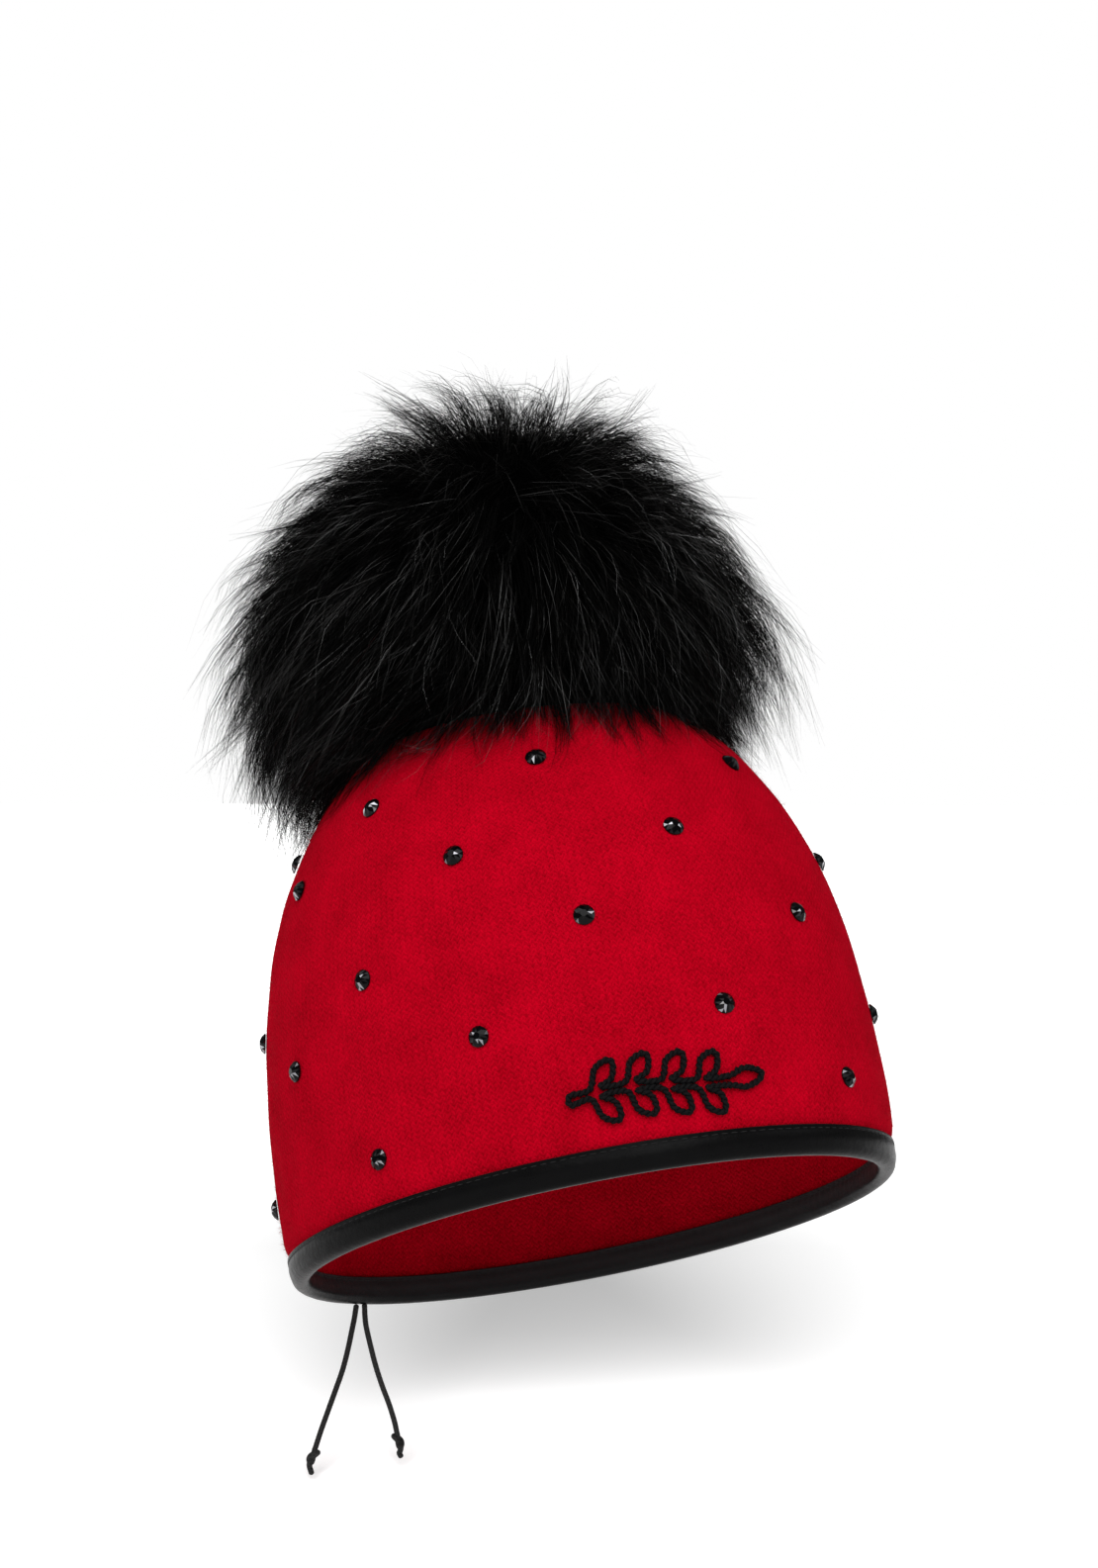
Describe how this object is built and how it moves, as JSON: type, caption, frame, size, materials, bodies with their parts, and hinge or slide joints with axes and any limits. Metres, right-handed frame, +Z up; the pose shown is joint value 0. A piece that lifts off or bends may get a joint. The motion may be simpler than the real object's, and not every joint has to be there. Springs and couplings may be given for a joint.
{
  "type": "bobble hat",
  "caption": "Milled wool knit hat with a leather-bound edge, a long-haired fur pompom, faceted stones round the crown and drawcord ends at the back.",
  "frame": {"origin": "middle of the head opening, in the plane of the binding's lower edge at its centre line, where a head sits", "axes": "+Z up through the hat, -Z out of the head opening as worn; -Y the way the wearer looks; +X the wearer's left. The hat is tipped back 16.75 degrees and 4.66 degrees to +X, as it is worn."},
  "size_m": [0.1877, 0.2329, 0.3392],
  "materials": {
    "wool": "milled wool knit, red, matte with a short nap",
    "leather": "soft nappa, black, low sheen",
    "fur": "long guard hair, black, single hairs catch the light",
    "stone": "opaque black cut crystal, polished facets",
    "yarn": "twisted couched cord, black",
    "cord": "braided round elastic cord, black"
  },
  "bodies": {
    "root": {"crown": "wool", "rim_binding": "leather", "pompom": "fur", "motif": "yarn", "cord_left": "cord", "cord_right": "cord", "knot_left": "cord", "knot_right": "cord", "stone_01": "stone", "stone_02": "stone", "stone_03": "stone", "stone_04": "stone", "stone_05": "stone", "stone_06": "stone", "stone_07": "stone", "stone_08": "stone", "stone_09": "stone", "stone_10": "stone", "stone_11": "stone", "stone_12": "stone", "stone_13": "stone", "stone_14": "stone", "stone_15": "stone", "stone_16": "stone", "stone_17": "stone", "stone_18": "stone", "stone_19": "stone", "stone_20": "stone", "stone_21": "stone", "stone_22": "stone", "stone_23": "stone", "stone_24": "stone", "stone_25": "stone", "stone_26": "stone", "stone_27": "stone", "stone_28": "stone", "stone_29": "stone", "stone_30": "stone", "stone_31": "stone", "stone_32": "stone", "stone_33": "stone", "stone_34": "stone", "stone_35": "stone", "stone_36": "stone", "stone_37": "stone", "stone_38": "stone", "stone_39": "stone"}
  },
  "joints": []
}
